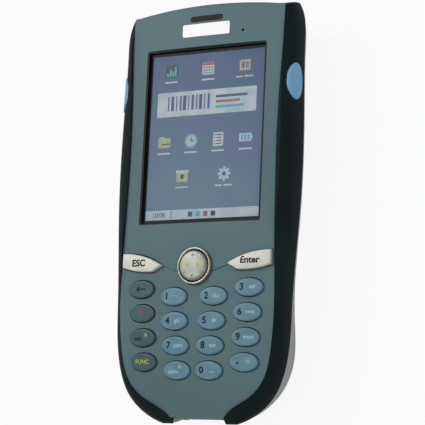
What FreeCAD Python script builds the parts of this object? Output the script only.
import FreeCAD, Part
import math
import os
from FreeCAD import Vector

# Portable barcode data terminal, lying on its back: X across, Y towards the scanner end, Z out of the face.
# The origin is the middle of its outline, on the flat back. All sizes are in millimetres.

os.makedirs("parts", exist_ok=True)

# Case
face_half = 29.1
bumper_reach = 5.3
parting_z = 18.6
face_z = 27.0
wall = 2.0
floor_wall = 3.0
crown_radius = 350.0
bumper_proud = 0.9
bumper_fullness = 2.8
bumper_wrap = 3.0
fall_from_bottom = 49.3
fall_radius = 270.0
nose_from_bottom = 17.3
nose_radius = 55.0
notch_half = 10.0
lip_from_bottom = 2.4
corner_from_top = 2.1
back_side_reach = 16.0
back_top_reach = 6.0
back_bottom_reach = 9.0
back_tail_share = 0.42
back_first_lean = 12.0
back_last_lean = 62.0
rim_inset = 0.3

# Screen
brow_l = 14.8
opening_w = 45.9
opening_l = 61.0
picture_w = 43.2
picture_l = 57.6
glass_top_z = 24.5
glass_t = 1.1
glass_margin = 1.0
module_t = 3.2
module_margin = 2.0
gasket_gap = 0.1
gasket_rim = 0.6
gasket_t = 0.3

# Keys
key_half_w = 5.0
key_half_l = 3.0
key_gap = 0.3
key_proud = 0.95
key_travel = 0.6
key_flange = 0.7
key_flange_t = 0.6
key_post_r = 1.6
key_rows = 4
chin_l = 17.64
outer_key_x = 20.2
outer_key_rise = 2.7
outer_key_lean = 0.48
inner_key_x = 7.45
inner_key_lean = 0.5
key_pitch = 8.12
side_key_proud = 1.6
board_top_z = 19.6
board_t = 1.0
dome_r = 2.2
dome_t = 0.25
foot_gap = 0.05
sheet_t = 0.6
sheet_gap = 0.5

# Rocking pad
pad_above_keys = 10.1
screen_above_pad = 14.7
pad_r = 5.05
pad_gap = 0.4
pad_proud = 2.0
ring_w = 0.85
ring_proud = 1.2
stem_plate_r = 3.2
stem_post_r = 1.2
nav_switch_size = 7.0
nav_switch_t = 1.6

# Scan keys on the sides
trigger_from_top = 28.8
trigger_z = 23.0
trigger_half_l = 6.3
trigger_half_h = 2.7
trigger_bulge = 0.5
trigger_gap = 0.3
trigger_travel = 0.8
trigger_post_r = 1.4
switch_t = 1.0
switch_gap = 0.1

# Back
battery_w = 30.0
battery_l = 56.0
battery_t = 9.0
battery_from_bottom = 27.3
door_w = 34.0
door_l = 62.0
door_t = 1.6
door_gap = 0.3
hinge_pin_r = 0.8
hinge_pin_gap = 0.05
hinge_room = 2.4
lug_w = 2.6
lock_travel = 2.0
lock_half_w = 4.6
lock_t = 0.8
lock_knob_w = 6.0
lock_knob_l = 2.8
lock_from_edge = 7.0
stylus_x = 18.6
stylus_z = 12.5
stylus_r = 2.2
stylus_gap = 0.3
stylus_l = 92.0
tube_wall = 0.9
stylus_cap_r = 2.9
stylus_cap_t = 2.4
speaker_r = 8.0
speaker_t = 3.0
speaker_from_top = 41.3

# Ends
window_w = 28.0
window_h = 9.0
window_z = 15.6
engine_h = 8.4
window_t = 1.4
window_depth = 1.6
socket_w = 15.0
socket_h = 5.6
socket_z = 14.6
socket_depth = 7.0
socket_wall = 1.0

# Small front pieces
led_from_top = 5.1
led_half_l = 6.3
led_half_w = 1.0
plate_from_top = 9.1
plate_w = 18.0
plate_l = 4.4
plate_t = 0.5
plate_sunk = 0.25
mic_x = 13.9
mic_from_top = 10.5
mic_r = 2.0
screw_r = 1.0
screw_head_r = 1.9
screw_head_t = 1.4
boss_r = 2.6
upper_screw_x = 25.4
upper_screw_from_top = 9.0
lower_screw_x = 15.5
lower_screw_from_bottom = 10.5
boss_overlap = 6.0

case_half = face_half + bumper_reach

# Bands of the face one above the other make up the length, and each piece keeps to its own end
length = chin_l + (key_rows - 1) * key_pitch + pad_above_keys + screen_above_pad + opening_l + brow_l
top_y = length / 2
bottom_y = -length / 2
inner_key_y = bottom_y + chin_l + (key_rows - 1) * key_pitch
outer_key_y = inner_key_y + outer_key_rise
pad_y = inner_key_y + pad_above_keys
screen_y = top_y - brow_l - opening_l / 2
trigger_y = top_y - trigger_from_top
battery_y = bottom_y + battery_from_bottom + battery_l / 2
speaker_y = top_y - speaker_from_top
led_y = top_y - led_from_top
plate_y = top_y - plate_from_top
mic_y = top_y - mic_from_top
fall_y = bottom_y + fall_from_bottom
nose_y = bottom_y + nose_from_bottom

# Outline points: how far inside the half width, and how far up from the bottom end or down from the top
face_lower = [(13.8, 6.3), (8.4, 9.4), (4.6, 13.3), (2.6, 17.4), (1.1, 24.3), (0.1, 47.3)]
face_upper = [(1.2, 50.0), (0.5, 25.5), (0.0, 10.5)]
case_lower = [(20.5, 0.5), (14.2, 3.3), (7.6, 9.3), (3.7, 18.8), (2.2, 39.8), (0.5, 74.3)]
case_upper = [(0.5, 38.0), (1.0, 14.0), (1.6, 5.0), (3.4, 0.6)]


def box(x0, y0, z0, x1, y1, z1):
    return Part.makeBox(x1 - x0, y1 - y0, z1 - z0, Vector(x0, y0, z0))


def cylinder(radius, height, base, direction=Vector(0, 0, 1)):
    return Part.makeCylinder(radius, height, base, direction)


def rounded_box(width, long, height, centre, radius):
    x, y, z = centre
    block = box(x - width / 2, y - long / 2, z, x + width / 2, y + long / 2, z + height)
    upright = [e for e in block.Edges if abs(e.tangentAt(e.FirstParameter).z) > 0.9]
    return block.makeFillet(radius, upright)


def oval(half_w, half_l, height, base):
    major = max(half_w, half_l)
    minor = min(half_w, half_l)
    along = Vector(1, 0, 0) if half_w >= half_l else Vector(0, 1, 0)
    centre = Vector(*base)
    side = Vector(0, 0, 1).cross(along)
    edge = Part.Ellipse(centre + along * major, centre + side * minor, centre).toShape()
    return Part.Face(Part.Wire(edge)).extrude(Vector(0, 0, height))


def joined(shapes):
    whole = shapes[0]
    for shape in shapes[1:]:
        whole = whole.fuse(shape)
    return whole.removeSplitter()


def without(shape, cutters):
    for cutter in cutters:
        shape = shape.cut(cutter)
    return shape


def save(shape, name):
    shape.exportStep("parts/" + name + ".step")


def arc_drop(radius, run):
    return radius - math.sqrt(radius * radius - run * run)


def crown_drop(x):
    return arc_drop(crown_radius, x)


def face_height(y):
    """Height of the face on its middle line: level, then a long fall, then the nose."""
    if y >= fall_y:
        return face_z
    if y >= nose_y:
        return face_z - arc_drop(fall_radius, fall_y - y)
    start = math.asin((fall_y - nose_y) / fall_radius)
    level = face_z - arc_drop(fall_radius, fall_y - nose_y)
    centre_y = nose_y + nose_radius * math.sin(start)
    centre_z = level - nose_radius * math.cos(start)
    return centre_z + math.sqrt(nose_radius ** 2 - (centre_y - y) ** 2)


def plan_wire(points, middle_y, height, side=0.0, top=0.0, bottom=0.0, half=case_half, tail_share=1.0):
    """Closed outline at a height, which may follow Y, drawn in by side, top and bottom, and less towards the tail."""
    stretch = (length - top - bottom) / length

    def placed(x, y):
        along = min(1.0, max(0.0, (fall_y - y) / (fall_y - nose_y)))
        shrink = 1 - side * (1 - along * (1 - tail_share)) / half
        new_y = bottom_y + bottom + (y - bottom_y) * stretch
        return Vector(x * shrink, new_y, height(new_y))

    right = [placed(x, y) for x, y in points]
    left = [Vector(-p.x, p.y, p.z) for p in right]
    right_curve = Part.BSplineCurve()
    right_curve.interpolate(right)
    left_curve = Part.BSplineCurve()
    left_curve.interpolate(list(reversed(left)))
    top_arc = Part.Arc(right[-1], placed(0.0, middle_y), left[-1])
    low_line = Part.LineSegment(left[0], right[0])
    edges = [right_curve.toShape(), top_arc.toShape(), left_curve.toShape(), low_line.toShape()]
    return Part.Wire(edges)


def outline_points(lower, upper, half, first):
    points = [first] if first else []
    points += [(half - inset, bottom_y + up) for inset, up in lower]
    points += [(half - inset, top_y - down) for inset, down in upper]
    return points


face_corner = (face_half - 0.4, top_y - corner_from_top)
face_first = (notch_half, bottom_y + lip_from_bottom)
face_points = outline_points(face_lower, face_upper, face_half, face_first) + [face_corner]
case_points = outline_points(case_lower, case_upper, case_half, None)


def face_prism(inset, z0, z1):
    wire = plan_wire(face_points, top_y, lambda y: z0, inset, inset, inset, face_half)
    return Part.Face(wire).extrude(Vector(0, 0, z1 - z0))


def under_face(lift, depth=30.0):
    """Solid below the crowned face, lifted by an amount: one section carried along the face's middle line."""
    z = face_z + lift
    start_y = top_y + 12.0
    end_run = 9.0
    half = case_half + 8.0
    nose_end = nose_y - end_run - (nose_y - bottom_y)
    points = [Vector(0, start_y, z), Vector(0, fall_y, z)]
    middle = (fall_y + nose_y) / 2
    line = Part.LineSegment(points[0], points[1]).toShape()
    fall = Part.Arc(points[1], Vector(0, middle, face_height(middle) + lift),
                    Vector(0, nose_y, face_height(nose_y) + lift)).toShape()
    nose_middle = (nose_y + nose_end) / 2
    nose = Part.Arc(Vector(0, nose_y, face_height(nose_y) + lift),
                    Vector(0, nose_middle, face_height(nose_middle) + lift),
                    Vector(0, nose_end, face_height(nose_end) + lift)).toShape()
    path = Part.Wire([line, fall, nose])
    low = z - crown_drop(half)
    left = Vector(-half, start_y, low)
    right = Vector(half, start_y, low)
    roof = Part.Arc(left, Vector(0, start_y, z), right).toShape()
    sides = Part.makePolygon([right, Vector(half, start_y, z - depth), Vector(-half, start_y, z - depth), left])
    section = Part.Wire([roof] + sides.Edges)
    return path.makePipeShell([section], True, False)


def edge_crown(y):
    """How far the crown has dropped at the face's edge, which comes in towards the notch below the nose."""
    share = min(1.0, max(0.0, (y - bottom_y) / nose_from_bottom))
    return crown_drop(notch_half + (face_half - notch_half) * share)


def bumper_blank(outset, steps=6):
    """Outside of the two bumpers: outlines drawn in as they rise, like a full quarter round."""
    low_angle = math.radians(6.0)
    high_angle = math.radians(76.0)
    power = 2 / bumper_fullness
    wires = []
    for step in range(steps + 1):
        angle = low_angle + (high_angle - low_angle) * step / steps
        low_rise, rise, high_rise = [math.sin(a) ** power for a in (low_angle, angle, high_angle)]
        low_draw, draw, high_draw = [math.cos(a) ** power for a in (low_angle, angle, high_angle)]
        share = (rise - low_rise) / (high_rise - low_rise)
        inset = bumper_reach * (low_draw - draw) / (low_draw - high_draw)

        def height(y, share=share):
            edge_z = face_height(y) - edge_crown(y) + bumper_proud
            return parting_z + (edge_z - parting_z) * share

        wires.append(plan_wire(case_points, top_y, height, inset - outset, inset - outset, inset - outset))
    cap_z = face_z + 12.0
    cap_inset = bumper_reach * 1.2 - outset
    wires.append(plan_wire(case_points, top_y, lambda y: cap_z, cap_inset, cap_inset, cap_inset))
    return Part.makeLoft(wires, True, False)


def back_hull(inset, low, steps=5):
    """Rear shell's outside, or its inside when inset: sides lean in from the parting line to the flat back."""
    low_angle = math.radians(back_first_lean)
    high_angle = math.radians(back_last_lean)
    wires = []
    for step in range(steps + 1):
        angle = low_angle + (high_angle - low_angle) * step / steps
        drop = (math.sin(angle) - math.sin(low_angle)) / (math.sin(high_angle) - math.sin(low_angle))
        draw = (math.cos(low_angle) - math.cos(angle)) / (math.cos(low_angle) - math.cos(high_angle))
        z = parting_z - (parting_z - low) * drop
        start = rim_inset + inset
        wires.append(plan_wire(case_points, top_y, lambda y, z=z: z, start + back_side_reach * draw,
                               start + back_top_reach * draw, start + back_bottom_reach * draw,
                               tail_share=back_tail_share))
    return Part.makeLoft(wires, True, False)


def stadium(half_l, half_w, height, base):
    x, y, z = base
    run = half_l - half_w
    middle = box(x - run, y - half_w, z, x + run, y + half_w, z + height)
    ends = [cylinder(half_w, height, Vector(x + s * run, y, z)) for s in (-1, 1)]
    return joined([middle] + ends)


def side_key_prism(side, grow, z0, z1):
    """Pointed side key: its tip is towards the pad, its outer end follows the case."""
    outer = face_half - 1.3 + grow
    tip = 12.4 - grow * 1.6
    high = pad_y + 4.8 + grow
    low = pad_y + 0.1 - grow
    points = {
        "tip": Vector(side * tip, pad_y + 0.5, z0),
        "top_mid": Vector(side * (tip + 6.2), pad_y + 3.4 + grow, z0),
        "top_end": Vector(side * outer, high, z0),
        "low_end": Vector(side * outer, low, z0),
        "low_mid": Vector(side * (tip + 9.0), pad_y - 1.4 - grow, z0),
        "low_tip": Vector(side * (tip + 3.6), pad_y - 1.5 - grow, z0),
    }
    upper = Part.BSplineCurve()
    upper.interpolate([points["tip"], points["top_mid"], points["top_end"]])
    lower = Part.BSplineCurve()
    lower.interpolate([points["low_end"], points["low_mid"], points["low_tip"]])
    edges = [upper.toShape(), Part.LineSegment(points["top_end"], points["low_end"]).toShape(),
             lower.toShape(), Part.LineSegment(points["low_tip"], points["tip"]).toShape()]
    return Part.Face(Part.Wire(edges)).extrude(Vector(0, 0, z1 - z0))


def groove_band(side):
    """Thin curved line from a side key's tip to the pad's ring."""
    start = Vector(side * 12.9, pad_y + 0.4, parting_z)
    middle = Vector(side * 9.6, pad_y - 0.9, parting_z)
    end = Vector(side * 5.6, pad_y - 2.2, parting_z)
    wide = Vector(0, 0.35, 0)
    low_arc = Part.Arc(start, middle, end).toShape()
    high_arc = Part.Arc(end + wide, middle + wide, start + wide).toShape()
    edges = [low_arc, Part.LineSegment(end, end + wide).toShape(), high_arc,
             Part.LineSegment(start + wide, start).toShape()]
    return Part.Face(Part.Wire(edges)).extrude(Vector(0, 0, face_z))


def key_places():
    """Name and centre of each oval key, column by column from the top row down."""
    names = [["key_back", "key_power", "key_tab", "key_function"],
             ["key_1", "key_4", "key_7", "key_alpha"],
             ["key_2", "key_5", "key_8", "key_0"],
             ["key_3", "key_6", "key_9", "key_point"]]
    columns = [(-1, outer_key_x, outer_key_y, outer_key_lean), (-1, inner_key_x, inner_key_y, inner_key_lean),
               (1, inner_key_x, inner_key_y, inner_key_lean), (1, outer_key_x, outer_key_y, outer_key_lean)]
    places = []
    for column, (side, x, y, lean) in enumerate(columns):
        for row in range(key_rows):
            places.append((names[column][row], side * (x - lean * row), y - key_pitch * row))
    return places


def wall_under(x, y, half_l):
    """Lowest point of the front wall's inner face over a key."""
    low_y = y - half_l
    return face_height(low_y) - crown_drop(abs(x) + key_half_w) - wall


def key_solid(x, y):
    top = oval(key_half_w, key_half_l, 20.0, (x, y, board_top_z + dome_t))
    top = top.common(key_ceiling)
    flange_top = wall_under(x, y, key_half_l + key_flange) - 0.1
    cap = top.common(box(x - 9, y - 9, flange_top - key_flange_t, x + 9, y + 9, face_z + 9))
    rim = [e for e in cap.Edges if e.BoundBox.ZMin > flange_top + 1.0]
    cap = cap.makeFillet(0.5, rim)
    flange = oval(key_half_w + key_flange, key_half_l + key_flange, key_flange_t,
                  (x, y, flange_top - key_flange_t))
    foot_z = board_top_z + dome_t + foot_gap + key_travel
    post = cylinder(key_post_r, flange_top - key_flange_t - foot_z, Vector(x, y, foot_z))
    return joined([cap, flange, post])


side_flange_top = face_z - crown_drop(face_half) - wall - 0.3


def side_key_solid(side):
    flange_top = side_flange_top
    cap = side_key_prism(1, 0.0, flange_top - key_flange_t, face_z + 9).common(under_face(side_key_proud))
    rim = [e for e in cap.Edges if e.BoundBox.ZMin > flange_top + 1.0]
    cap = cap.makeFillet(0.45, rim)
    foot_z = board_top_z + dome_t + foot_gap + key_travel
    post = cylinder(key_post_r, flange_top - key_flange_t - foot_z, Vector(20.0, pad_y + 0.6, foot_z))
    whole = joined([cap, post])
    return whole if side > 0 else whole.mirror(Vector(0, 0, 0), Vector(1, 0, 0))


def nav_pieces():
    pivot_z = board_top_z + nav_switch_t + 0.1
    plate_z = pivot_z + 1.6
    ring_outer = cylinder(pad_r + pad_gap + ring_w, 12.0, Vector(0, pad_y, face_z - 3.2))
    ring_hole = cylinder(pad_r + pad_gap, 30.0, Vector(0, pad_y, 10.0))
    ring = ring_outer.cut(ring_hole).common(under_face(ring_proud))
    rim = [e for e in ring.Edges if e.BoundBox.ZMin > face_z + 0.5]
    ring = ring.makeFillet(ring_w * 0.4, rim)
    pad_low = plate_z + 1.3
    pad = cylinder(pad_r, 20.0, Vector(0, pad_y, pad_low))
    pad = pad.common(under_face(pad_proud))
    top_edges = [e for e in pad.Edges if e.BoundBox.ZMin > face_z + 1.0]
    pad = pad.makeFillet(0.8, top_edges)
    stem = joined([cylinder(stem_plate_r, 1.0, Vector(0, pad_y, plate_z)),
                   cylinder(stem_post_r, 1.6, Vector(0, pad_y, pivot_z))])
    switch = rounded_box(nav_switch_size, nav_switch_size, nav_switch_t, (0, pad_y, board_top_z), 0.4)
    return ring, pad, stem, switch


trigger_post_x = face_half - wall - 0.6


def trigger_solid(side):
    """Oval scan key that bulges out of the bumper, with a post through the case wall."""
    inner_x = face_half + 0.6 + trigger_travel
    edge = Part.Ellipse(Vector(inner_x, trigger_y + trigger_half_l, trigger_z),
                        Vector(inner_x, trigger_y, trigger_z + trigger_half_h),
                        Vector(inner_x, trigger_y, trigger_z)).toShape()
    slug = Part.Face(Part.Wire(edge)).extrude(Vector(12.0, 0, 0))
    cap = slug.common(bumper_blank(trigger_bulge))
    rim = [e for e in cap.Edges if e.CenterOfMass.x > inner_x + 0.9]
    cap = cap.makeFillet(0.5, rim)
    post = cylinder(trigger_post_r, inner_x - trigger_post_x, Vector(trigger_post_x, trigger_y, trigger_z),
                    Vector(1, 0, 0))
    whole = joined([cap, post])
    return whole if side > 0 else whole.mirror(Vector(0, 0, 0), Vector(1, 0, 0))


def trigger_hole(side):
    edge = Part.Ellipse(Vector(0, trigger_y + trigger_half_l + trigger_gap, trigger_z),
                        Vector(0, trigger_y, trigger_z + trigger_half_h + trigger_gap),
                        Vector(0, trigger_y, trigger_z)).toShape()
    return Part.Face(Part.Wire(edge)).extrude(Vector(side * 60.0, 0, 0))


def trigger_wall_hole(side):
    return cylinder(trigger_post_r + 0.2, 60.0, Vector(0, trigger_y, trigger_z), Vector(side, 0, 0))


def screw_places():
    upper = [(side * upper_screw_x, top_y - upper_screw_from_top) for side in (-1, 1)]
    lower = [(side * lower_screw_x, bottom_y + lower_screw_from_bottom) for side in (-1, 1)]
    return upper + lower


def window_box(grow, depth):
    half = window_w / 2 + grow
    return box(-half, top_y - depth, window_z - window_h / 2 - grow, half, top_y + 5, window_z + window_h / 2 + grow)


def make_front_cover(key_list):
    cover = face_prism(0.0, parting_z, face_z + 9).common(under_face(0.0))
    rounded = [e for e in cover.Edges if e.BoundBox.YMin > top_y - 4.0 and e.BoundBox.ZMin > face_z - 3.0]
    cover = cover.makeFillet(1.5, rounded)
    hollow = face_prism(wall, parting_z - 1, face_z + 9).common(under_face(-wall))
    cover = cover.cut(hollow)
    boss_ceiling = under_face(-wall + 0.2)
    bosses = []
    for x, y in screw_places():
        boss = cylinder(boss_r, face_z, Vector(x, y, parting_z - boss_overlap)).common(boss_ceiling)
        bosses.append(boss)
    cover = joined([cover] + bosses)
    cutters = [rounded_box(opening_w, opening_l, 12.0, (0, screen_y, face_z - 8.0), 0.8)]
    for name, x, y in key_list:
        cutters.append(oval(key_half_w + key_gap, key_half_l + key_gap, 12.0, (x, y, face_z - 8.5)))
    ring_fit = 0.1
    cutters.append(cylinder(pad_r + pad_gap + ring_w + ring_fit, 12.0, Vector(0, pad_y, face_z - 8.0)))
    for side in (-1, 1):
        cutters.append(side_key_prism(side, key_gap, side_flange_top - key_flange_t - key_travel - 0.2, face_z + 9))
        cutters.append(trigger_wall_hole(side))
        cutters.append(groove_band(side).cut(under_face(-0.3)))
    cutters.append(stadium(led_half_l, led_half_w, 12.0, (0, led_y, face_z - 6.0)))
    recess = rounded_box(plate_w + 0.2, plate_l + 0.2, 12.0, (0, plate_y, face_z - 4.0), 0.7)
    cutters.append(recess.cut(under_face(-plate_sunk)))
    cutters.append(cylinder(0.5, 12.0, Vector(mic_x, mic_y, face_z - 6.0)))
    cutters.append(window_box(0.1, 4.0))
    seat_w = opening_w + 2 * glass_margin + 0.1
    seat_l = opening_l + 2 * glass_margin + module_margin + 0.1
    cutters.append(box(-seat_w / 2, screen_y - seat_l / 2, parting_z, seat_w / 2, screen_y + seat_l / 2,
                       glass_top_z))
    cover = without(cover, cutters)
    for x, y in screw_places():
        cover = cover.cut(cylinder(screw_r - 0.15, 9.5, Vector(x, y, parting_z - boss_overlap - 1.0)))
    return cover


def make_bumpers():
    blank = bumper_blank(0.0).common(under_face(bumper_proud))
    inner = face_prism(0.0, parting_z - 1, face_z + 20)
    reach_x = face_corner[0] - bumper_wrap
    top_way = box(-reach_x, face_corner[1] - 1.0, parting_z - 1, reach_x, top_y + 9, face_z + 20)
    notch_way = box(-notch_half, bottom_y - 9, parting_z - 1, notch_half, bottom_y + lip_from_bottom + 1, face_z + 20)
    ring = without(blank, [inner, top_way, notch_way, trigger_hole(1), trigger_hole(-1)])
    right = max(ring.Solids, key=lambda s: s.Volume if s.CenterOfMass.x > 0 else 0)
    return right.mirror(Vector(0, 0, 0), Vector(1, 0, 0)), right


def battery_box(grow, z0, z1):
    return box(-battery_w / 2 - grow, battery_y - battery_l / 2 - grow, z0,
               battery_w / 2 + grow, battery_y + battery_l / 2 + grow, z1)


door_low_y = battery_y - door_l / 2
door_high_y = battery_y + door_l / 2
hinge_y = door_low_y + 1.4
hinge_z = 1.6


def make_rear_cover():
    cover = back_hull(0.0, 0.0)
    hollow = back_hull(wall, floor_wall).common(face_prism(wall, -1.0, parting_z + 1))
    hollow_top = face_prism(wall, parting_z - 0.5, parting_z + 1)
    cover = without(cover, [hollow, hollow_top])
    notch = box(-notch_half, bottom_y - 9, -1, notch_half, bottom_y + lip_from_bottom - 0.4, parting_z + 1)
    cover = cover.cut(notch)
    inner_hull = back_hull(0.6, 0.6)
    tube = cylinder(stylus_r + stylus_gap + tube_wall, stylus_l, Vector(stylus_x, 0, stylus_z), Vector(0, 1, 0))
    tube.translate(Vector(0, top_y - 4.0 - stylus_l, 0))
    socket_y = bottom_y + lip_from_bottom
    shroud = box(-socket_w / 2 - socket_wall, socket_y + 0.5, socket_z - socket_h / 2 - socket_wall,
                 socket_w / 2 + socket_wall, socket_y + socket_depth + 1.5, socket_z + socket_h / 2 + 0.6)
    bosses = []
    for x, y in screw_places():
        boss = cylinder(boss_r + 0.8, parting_z - boss_overlap - 0.1, Vector(x, y, 0)).common(inner_hull)
        bosses.append(boss)
    for side in (-1, 1):
        near = side * (door_w / 2 + door_gap)
        far = near + side * lug_w
        bosses.append(box(min(near, far), hinge_y - 2.0, 1.0, max(near, far), hinge_y + 2.0, hinge_z + 2.2))
    cover = joined([cover, tube.common(inner_hull), shroud] + bosses)
    cutters = [cylinder(stylus_r + stylus_gap, 200.0, Vector(stylus_x, top_y - stylus_l, stylus_z), Vector(0, 1, 0)),
               cylinder(stylus_cap_r + stylus_gap, 20.0,
                        Vector(stylus_x, top_y - 3.2 - stylus_cap_t, stylus_z), Vector(0, 1, 0))]
    cutters.append(box(-door_w / 2 - door_gap, door_low_y - door_gap, -1,
                       door_w / 2 + door_gap, door_high_y + door_gap, door_t + door_gap))
    cutters.append(battery_box(door_gap, -1, floor_wall + 3.0))
    cutters.append(cylinder(hinge_room, door_w + 2 * door_gap, Vector(-door_w / 2 - door_gap, hinge_y, hinge_z),
                            Vector(1, 0, 0)))
    pin_reach = door_w / 2 + lug_w
    cutters.append(cylinder(hinge_pin_r, 2 * pin_reach, Vector(-pin_reach, hinge_y, hinge_z), Vector(1, 0, 0)))
    cutters.append(box(-lock_half_w - door_gap, door_high_y - 12.0, door_t, lock_half_w + door_gap,
                       door_high_y + lock_travel, door_t + lock_t + 0.4))
    for x, y in screw_places():
        cutters.append(cylinder(screw_r + 0.2, 60.0, Vector(x, y, -1)))
        cutters.append(cylinder(screw_head_r + 0.2, parting_z - 9.0, Vector(x, y, -1)))
        cutters.append(cylinder(boss_r + 0.1, 20.0, Vector(x, y, parting_z - boss_overlap - 0.1)))
    for column in range(-2, 3):
        for row in range(-1, 2):
            cutters.append(cylinder(0.7, 8.0, Vector(column * 2.6, speaker_y + row * 2.6, -1)))
    cutters.append(window_box(0.1, 5.0))
    cutters.append(box(-socket_w / 2, bottom_y - 9, socket_z - socket_h / 2,
                       socket_w / 2, socket_y + socket_depth, socket_z + socket_h / 2))
    return without(cover, cutters)


def make_door():
    """Battery door: a flat panel with rounded corners, its hinge barrels and the slot for the lock."""
    panel = rounded_box(door_w, door_l, door_t, (0, battery_y, 0), 2.0)
    gap = hinge_pin_r + hinge_pin_gap
    barrel = cylinder(hinge_z, door_w - 1.0, Vector(-door_w / 2 + 0.5, hinge_y, hinge_z), Vector(1, 0, 0))
    door = joined([panel, barrel])
    door = door.cut(cylinder(gap, door_w + 9, Vector(-door_w / 2 - 4, hinge_y, hinge_z), Vector(1, 0, 0)))
    knob_y = door_high_y - lock_from_edge
    slot = box(-lock_knob_w / 2 - 0.2, knob_y - lock_knob_l / 2 - 0.2, -1, lock_knob_w / 2 + 0.2,
               knob_y + lock_knob_l / 2 + lock_travel + 0.2, 4)
    return door.cut(slot)


def make_lock():
    knob_y = door_high_y - lock_from_edge
    knob = box(-lock_knob_w / 2, knob_y - lock_knob_l / 2, 0.2, lock_knob_w / 2, knob_y + lock_knob_l / 2,
               door_t + 0.2)
    slide = box(-lock_half_w, knob_y - lock_knob_l, door_t + 0.05, lock_half_w, door_high_y - 0.9,
                door_t + 0.05 + lock_t)
    return joined([knob, slide])


def make_stylus():
    tail_y = top_y - stylus_l + 1.0
    shaft_end = top_y - 1.2 - stylus_cap_t
    nib = Part.makeCone(0.6, stylus_r, 6.0, Vector(stylus_x, tail_y, stylus_z), Vector(0, 1, 0))
    shaft = cylinder(stylus_r, shaft_end - tail_y - 6.0, Vector(stylus_x, tail_y + 6.0, stylus_z), Vector(0, 1, 0))
    cap = cylinder(stylus_cap_r, stylus_cap_t, Vector(stylus_x, shaft_end, stylus_z), Vector(0, 1, 0))
    cap = cap.makeFillet(0.5, [e for e in cap.Edges if e.BoundBox.YMin > shaft_end + 1.0])
    return joined([nib, shaft, cap])


def make_group(solids):
    return Part.makeCompound(solids)


keys = key_places()
key_ceiling = under_face(key_proud)
front_cover = make_front_cover(keys)
save(front_cover, "front_cover")
left_bumper, right_bumper = make_bumpers()
save(left_bumper, "left_bumper")
save(right_bumper, "right_bumper")
rear_cover = make_rear_cover()
save(rear_cover, "rear_cover")

for key_name, key_x, key_y in keys:
    save(key_solid(key_x, key_y), key_name)
save(side_key_solid(-1), "esc_key")
save(side_key_solid(1), "enter_key")

nav_ring, nav_pad, nav_stem, nav_switch = nav_pieces()
save(nav_ring, "nav_ring")
save(nav_pad, "nav_pad")
save(nav_stem, "nav_stem")
save(nav_switch, "nav_switch")

save(trigger_solid(-1), "left_trigger")
save(trigger_solid(1), "right_trigger")
switch_x = trigger_post_x - trigger_travel - switch_gap
trigger_switches = []
for switch_side in (-1, 1):
    near = switch_side * switch_x
    far = switch_side * (switch_x - switch_t)
    trigger_switches.append(box(min(near, far), trigger_y - 3, trigger_z - 2.6, max(near, far), trigger_y + 3,
                                trigger_z + 0.8))
save(make_group(trigger_switches), "trigger_switches")

# Screen stack, from the black frame down
gasket_outer = rounded_box(opening_w - 2 * gasket_gap, opening_l - 2 * gasket_gap, face_z - 1.0 - glass_top_z,
                           (0, screen_y, glass_top_z), 0.7)
gasket_inner = box(-opening_w / 2 + gasket_rim, screen_y - opening_l / 2 + gasket_rim, glass_top_z + gasket_t,
                   opening_w / 2 - gasket_rim, screen_y + opening_l / 2 - gasket_rim, face_z + 1)
picture_way = box(-picture_w / 2, screen_y - picture_l / 2, glass_top_z - 1,
                  picture_w / 2, screen_y + picture_l / 2, face_z + 1)
save(without(gasket_outer, [gasket_inner, picture_way]), "display_gasket")
glass_w = opening_w + 2 * glass_margin
glass_l = opening_l + 2 * glass_margin
save(rounded_box(glass_w, glass_l, glass_t, (0, screen_y, glass_top_z - glass_t), 0.8), "touch_panel")
module_z = glass_top_z - glass_t - module_t
module_w = glass_w
module_l = glass_l + module_margin
save(rounded_box(module_w, module_l, module_t, (0, screen_y, module_z), 0.8), "lcd_module")

# Keypad stack on its board
board_low_y = bottom_y + 15.0
board_high_y = screen_y - module_l / 2 - 1.0
board_room = face_prism(wall + 0.5, board_top_z - board_t, board_top_z + sheet_t)
keypad_board = box(-60.0, board_low_y, board_top_z - board_t, 60.0, board_high_y, board_top_z).common(board_room)
save(keypad_board, "keypad_board")
dome_places = [(x, y) for name, x, y in keys] + [(-20.0, pad_y + 0.6), (20.0, pad_y + 0.6)]
domes = [cylinder(dome_r, dome_t, Vector(x, y, board_top_z)) for x, y in dome_places]
save(make_group(domes), "key_domes")
sheet = box(-60.0, board_low_y, board_top_z, 60.0, board_high_y, board_top_z + sheet_t).common(board_room)
sheet_cuts = [cylinder(dome_r + sheet_gap, 9.0, Vector(x, y, board_top_z - 1)) for x, y in dome_places]
switch_room = nav_switch_size / 2 + sheet_gap
sheet_cuts.append(box(-switch_room, pad_y - switch_room, 0, switch_room, pad_y + switch_room, 60))
save(without(sheet, sheet_cuts), "keypad_sheet")

# Main board under the screen, and what it carries
main_z = module_z - 2.4
main_board = box(-22.0, board_high_y, main_z, 18.0, screen_y + module_l / 2 - 8.0, main_z + board_t)
save(main_board, "main_board")
cable = joined([box(-8, board_high_y + 2.0, main_z + board_t, 8, board_high_y + 8.0, main_z + board_t + 0.4),
                box(-8, board_high_y + 7.6, main_z + board_t, 8, board_high_y + 8.0, module_z)])
save(cable, "display_cable")
cell_y = screen_y + 12.0
save(cylinder(5.0, 2.0, Vector(-12.0, cell_y, main_z - 2.0)), "backup_cell")

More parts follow.
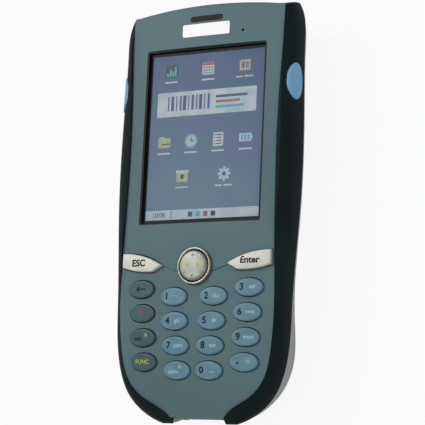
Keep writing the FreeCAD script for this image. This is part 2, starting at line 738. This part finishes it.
# Front small pieces
led = stadium(led_half_l - 0.1, led_half_w - 0.1, 12.0, (0, led_y, face_z - wall - 0.6)).common(under_face(-0.25))
led = joined([led, box(-led_half_l - 1, led_y - 1.6, face_z - wall - 1.1, led_half_l + 1, led_y + 1.6,
                       face_z - wall - 0.3).common(under_face(-wall - 0.02))])
save(led, "led_window")
plate = rounded_box(plate_w, plate_l, 12.0, (0, plate_y, face_z - 4.0), 0.6)
save(plate.common(under_face(plate_t - plate_sunk)).cut(under_face(-plate_sunk)), "name_plate")
mic_top = face_z - wall - crown_drop(mic_x + mic_r)
save(cylinder(mic_r, 1.6, Vector(mic_x, mic_y, mic_top - 1.6)), "microphone")

# Scanner at the top end
pane_y = top_y - window_depth - window_t
pane = box(-window_w / 2, pane_y, window_z - window_h / 2, window_w / 2, pane_y + window_t, window_z + window_h / 2)
save(pane.makeFillet(0.6, [e for e in pane.Edges if e.BoundBox.YMin > pane_y + 0.5]), "scan_window")
engine_y = pane_y - 2.5
engine = box(-10.0, engine_y - 14.0, window_z - engine_h / 2, 10.0, engine_y, window_z + engine_h / 2)
engine = engine.cut(box(-8.0, engine_y - 4.0, window_z - 3.0, 8.0, engine_y + 1, window_z + 3.0))
save(engine, "scan_engine")
bracket_z = window_z - engine_h / 2
bracket = joined([box(-13.5, engine_y - 14.0, bracket_z - 0.8, 13.5, engine_y - 1.0, bracket_z),
                  box(-12.0, engine_y - 12.0, floor_wall, -9.0, engine_y - 6.0, bracket_z),
                  box(9.0, engine_y - 12.0, floor_wall, 12.0, engine_y - 6.0, bracket_z)])
save(bracket, "scan_bracket")

# Back pieces
save(make_door(), "battery_door")
save(make_lock(), "battery_lock")
pins = []
for pin_side in (-1, 1):
    inner_x = pin_side * (door_w / 2 - 6.0)
    outer_x = pin_side * (door_w / 2 + lug_w)
    pins.append(cylinder(hinge_pin_r, abs(outer_x - inner_x), Vector(min(inner_x, outer_x), hinge_y, hinge_z),
                         Vector(1, 0, 0)))
save(make_group(pins), "door_pins")
pack_z = door_t + 1.4
pack = battery_box(0.0, pack_z, pack_z + battery_t)
pack = pack.makeFillet(1.0, [e for e in pack.Edges if abs(e.tangentAt(e.FirstParameter).z) > 0.9])
save(pack, "battery_pack")
contact_y = battery_y + battery_l / 2
contacts = joined([box(-7, contact_y + 0.3, pack_z + 1, 7, contact_y + 3.0, main_z),
                   box(-7, contact_y + 0.3, main_z - 1.0, 7, contact_y + 6.0, main_z)])
save(contacts, "battery_contacts")
save(make_stylus(), "stylus")
save(cylinder(speaker_r, speaker_t, Vector(0, speaker_y, floor_wall)), "speaker")
connector_y = bottom_y + lip_from_bottom + socket_depth
connector = joined([box(-socket_w / 2 + 0.1, connector_y - 0.8, socket_z - socket_h / 2 + 0.1,
                        socket_w / 2 - 0.1, connector_y, socket_z + socket_h / 2 - 0.1),
                    box(-5.5, connector_y - 4.6, socket_z - 0.5, 5.5, connector_y - 0.8, socket_z + 0.4)])
save(connector, "dock_connector")

screws = []
for screw_x, screw_y in screw_places():
    head_z = parting_z - 10.0
    screws.append(joined([cylinder(screw_head_r, screw_head_t, Vector(screw_x, screw_y, head_z - screw_head_t)),
                          cylinder(screw_r - 0.15, parting_z - 1.4 - head_z, Vector(screw_x, screw_y, head_z))]))
save(make_group(screws), "case_screws")
